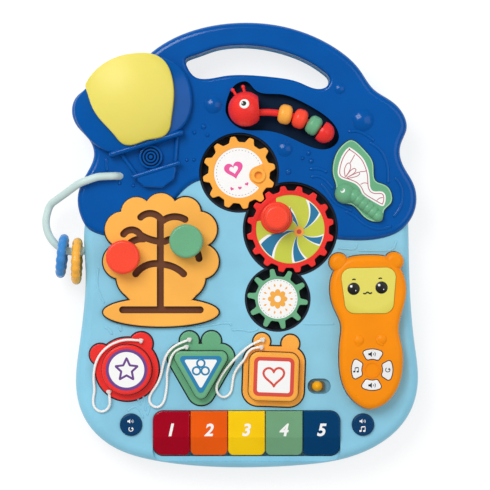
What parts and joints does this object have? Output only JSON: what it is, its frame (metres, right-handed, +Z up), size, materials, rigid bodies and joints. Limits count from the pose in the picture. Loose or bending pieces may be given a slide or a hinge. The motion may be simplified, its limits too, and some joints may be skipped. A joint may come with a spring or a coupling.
{
  "type": "activity table panel",
  "caption": "Baby activity panel with carrying handle, meshing gears, piano keys, maze tree, shape blocks, sliding beads and a lift-out toy telephone.",
  "frame": {"origin": "on the surface that the panel lies on, under the middle of its whole outline with the bead loop", "axes": "+Y towards the carrying handle, +X to the right seen from above, +Z up"},
  "size_m": [0.3397, 0.4012, 0.067],
  "materials": {
    "light_blue": "moulded ABS, satin gloss",
    "navy_blue": "moulded ABS, satin gloss",
    "back_blue": "moulded ABS, fine texture",
    "dark_tray": "moulded ABS, dark",
    "orange": "moulded ABS, glossy",
    "tree_yellow": "moulded ABS, glossy",
    "telephone_orange": "moulded ABS, glossy",
    "red": "moulded ABS, glossy",
    "green": "moulded ABS, glossy",
    "maze_brown": "moulded ABS, brown",
    "dark_rod": "moulded ABS, dark",
    "mint_tube": "flexible PVC tube",
    "ring_blue": "moulded ABS, glossy",
    "white_cord": "braided polyester cord",
    "key_red": "moulded ABS, glossy",
    "key_orange": "moulded ABS, glossy",
    "key_yellow": "moulded ABS, glossy",
    "key_green": "moulded ABS, glossy",
    "key_blue": "moulded ABS, glossy",
    "steel": "zinc-plated steel",
    "button_navy": "moulded ABS, glossy",
    "phone_white": "silicone, white",
    "window_yellow": "moulded ABS, yellow",
    "lens_yellow": "translucent PMMA, yellow",
    "battery_black": "moulded ABS, black",
    "cell_green": "printed metal jacket",
    "board_green": "glass-epoxy laminate"
  },
  "bodies": {
    "panel": {"back_shell": "back_blue", "lower_front_shell": "light_blue", "upper_front_shell": "navy_blue", "gear_tray": "dark_tray", "worm_head": "red", "worm_rod": "dark_rod", "worm_tail": "red", "tree_plate": "tree_yellow", "tree_track": "maze_brown", "loop_tube": "mint_tube", "bear_frame": "red", "frog_frame": "green", "cat_frame": "orange", "cord_round": "white_cord", "cord_triangle": "white_cord", "cord_square": "white_cord", "cord_knots": "white_cord", "key_axle": "steel", "balloon_basket": "navy_blue", "balloon_lens": "lens_yellow", "leg_sockets": "back_blue", "battery_door": "back_blue", "battery_box": "battery_black", "battery_cells": "cell_green", "battery_contacts": "steel", "circuit_board": "board_green", "speaker": "battery_black", "case_screws": "steel", "battery_door_screws": "steel"},
    "red_gear": {"red_gear": "red"},
    "orange_gear": {"orange_gear": "orange"},
    "green_gear": {"green_gear": "green"},
    "crank_knob": {"red_gear_knob": "red"},
    "bead_yellow": {"bead_yellow": "tree_yellow"},
    "bead_red": {"bead_red": "red"},
    "bead_green": {"bead_green": "green"},
    "tree_knob_red": {"tree_knob_red": "red"},
    "tree_knob_green": {"tree_knob_green": "green"},
    "loop_ring_blue": {"loop_ring_blue": "ring_blue"},
    "loop_ring_orange": {"loop_ring_orange": "orange"},
    "round_block": {"round_block": "red"},
    "triangle_block": {"triangle_block": "green"},
    "square_block": {"square_block": "orange"},
    "key_1": {"key_1": "key_red"},
    "key_2": {"key_2": "key_orange"},
    "key_3": {"key_3": "key_yellow"},
    "key_4": {"key_4": "key_green"},
    "key_5": {"key_5": "key_blue"},
    "left_button": {"left_button": "button_navy"},
    "right_button": {"right_button": "button_navy"},
    "dragonfly_button": {"dragonfly_button": "green"},
    "mode_switch_knob": {"mode_switch_knob": "orange"},
    "telephone": {"phone_back": "telephone_orange", "phone_front": "telephone_orange", "phone_lens": "window_yellow"},
    "phone_button_right": {"phone_button_right": "phone_white"},
    "phone_button_top": {"phone_button_top": "phone_white"},
    "phone_button_left": {"phone_button_left": "phone_white"},
    "phone_button_bottom": {"phone_button_bottom": "phone_white"}
  },
  "joints": [
    {"name": "red_gear_spin", "type": "hinge", "parent": "panel", "child": "red_gear", "pos_m": [0.05438, 0.01458, 0.035], "axis": [0, 0, 1], "continuous": true},
    {"name": "orange_gear_spin", "type": "hinge", "parent": "panel", "child": "orange_gear", "pos_m": [0.0083, 0.0654, 0.035], "axis": [0, 0, 1], "continuous": true},
    {"name": "green_gear_spin", "type": "hinge", "parent": "panel", "child": "green_gear", "pos_m": [0.04299, -0.04809, 0.035], "axis": [0, 0, 1], "continuous": true},
    {"name": "crank_knob_spin", "type": "hinge", "parent": "red_gear", "child": "crank_knob", "pos_m": [0.04178, 0.02488, 0.045], "axis": [0, 0, 1], "continuous": true},
    {"name": "bead_yellow_slide", "type": "hinge", "parent": "panel", "child": "bead_yellow", "pos_m": [0.0316, 0.033, 0.0455], "axis": [0, 0, 1], "range_deg": [0, 10]},
    {"name": "bead_red_slide", "type": "hinge", "parent": "panel", "child": "bead_red", "pos_m": [0.0316, 0.033, 0.0455], "axis": [0, 0, 1], "range_deg": [0, 10]},
    {"name": "bead_green_slide", "type": "hinge", "parent": "panel", "child": "bead_green", "pos_m": [0.0316, 0.033, 0.0455], "axis": [0, 0, 1], "range_deg": [0, 10]},
    {"name": "tree_knob_red_slide", "type": "hinge", "parent": "panel", "child": "tree_knob_red", "pos_m": [-0.0791, -0.0104, 0.05], "axis": [0, 0, 1], "range_deg": [-62, 0]},
    {"name": "tree_knob_green_slide", "type": "hinge", "parent": "panel", "child": "tree_knob_green", "pos_m": [-0.0485, -0.015, 0.05], "axis": [0, 0, 1], "range_deg": [-52, 20]},
    {"name": "loop_ring_blue_slide", "type": "hinge", "parent": "panel", "child": "loop_ring_blue", "pos_m": [-0.1394, 0.0211, 0.0275], "axis": [0, 0, 1], "range_deg": [-70, 0]},
    {"name": "loop_ring_orange_slide", "type": "hinge", "parent": "panel", "child": "loop_ring_orange", "pos_m": [-0.1394, 0.0211, 0.0275], "axis": [0, 0, 1], "range_deg": [-70, 0]},
    {"name": "round_block_lift", "type": "slide", "parent": "panel", "child": "round_block", "axis": [0, 0, 1], "range_m": [0, 0.03]},
    {"name": "triangle_block_lift", "type": "slide", "parent": "panel", "child": "triangle_block", "axis": [0, 0, 1], "range_m": [0, 0.03]},
    {"name": "square_block_lift", "type": "slide", "parent": "panel", "child": "square_block", "axis": [0, 0, 1], "range_m": [0, 0.03]},
    {"name": "key_1_press", "type": "hinge", "parent": "panel", "child": "key_1", "pos_m": [-0.0526, -0.153, 0.0326], "axis": [1, 0, 0], "range_deg": [0, 2.5], "stiffness_Nm_per_rad": 0.06, "springref_deg": -20.05},
    {"name": "key_2_press", "type": "hinge", "parent": "panel", "child": "key_2", "pos_m": [-0.0188, -0.153, 0.0326], "axis": [1, 0, 0], "range_deg": [0, 2.5], "stiffness_Nm_per_rad": 0.06, "springref_deg": -20.05},
    {"name": "key_3_press", "type": "hinge", "parent": "panel", "child": "key_3", "pos_m": [0.015, -0.153, 0.0326], "axis": [1, 0, 0], "range_deg": [0, 2.5], "stiffness_Nm_per_rad": 0.06, "springref_deg": -20.05},
    {"name": "key_4_press", "type": "hinge", "parent": "panel", "child": "key_4", "pos_m": [0.0488, -0.153, 0.0326], "axis": [1, 0, 0], "range_deg": [0, 2.5], "stiffness_Nm_per_rad": 0.06, "springref_deg": -20.05},
    {"name": "key_5_press", "type": "hinge", "parent": "panel", "child": "key_5", "pos_m": [0.0826, -0.153, 0.0326], "axis": [1, 0, 0], "range_deg": [0, 2.5], "stiffness_Nm_per_rad": 0.06, "springref_deg": -20.05},
    {"name": "left_button_press", "type": "slide", "parent": "panel", "child": "left_button", "axis": [0, 0, -1], "range_m": [0, 0.0015], "stiffness_N_per_m": 200, "springref_m": -0.002},
    {"name": "right_button_press", "type": "slide", "parent": "panel", "child": "right_button", "axis": [0, 0, -1], "range_m": [0, 0.0015], "stiffness_N_per_m": 200, "springref_m": -0.002},
    {"name": "dragonfly_button_press", "type": "slide", "parent": "panel", "child": "dragonfly_button", "axis": [0, 0, -1], "range_m": [0, 0.002], "stiffness_N_per_m": 300, "springref_m": -0.003},
    {"name": "mode_switch_slide", "type": "slide", "parent": "panel", "child": "mode_switch_knob", "axis": [1, 0, 0], "range_m": [0, 0.0045]},
    {"name": "telephone_lift", "type": "slide", "parent": "panel", "child": "telephone", "axis": [0, 0, 1], "range_m": [0, 0.06]},
    {"name": "phone_button_right_press", "type": "slide", "parent": "telephone", "child": "phone_button_right", "axis": [0, 0, -1], "range_m": [0, 0.0012], "stiffness_N_per_m": 150, "springref_m": -0.002},
    {"name": "phone_button_top_press", "type": "slide", "parent": "telephone", "child": "phone_button_top", "axis": [0, 0, -1], "range_m": [0, 0.0012], "stiffness_N_per_m": 150, "springref_m": -0.002},
    {"name": "phone_button_left_press", "type": "slide", "parent": "telephone", "child": "phone_button_left", "axis": [0, 0, -1], "range_m": [0, 0.0012], "stiffness_N_per_m": 150, "springref_m": -0.002},
    {"name": "phone_button_bottom_press", "type": "slide", "parent": "telephone", "child": "phone_button_bottom", "axis": [0, 0, -1], "range_m": [0, 0.0012], "stiffness_N_per_m": 150, "springref_m": -0.002}
  ],
  "couplings": [
    {"joint": "orange_gear_spin", "follows": "red_gear_spin", "ratio": -1.3333},
    {"joint": "green_gear_spin", "follows": "red_gear_spin", "ratio": -1.6},
    {"joint": "bead_red_slide", "follows": "bead_yellow_slide", "ratio": 1},
    {"joint": "bead_green_slide", "follows": "bead_yellow_slide", "ratio": 1},
    {"joint": "loop_ring_orange_slide", "follows": "loop_ring_blue_slide", "ratio": 1}
  ]
}
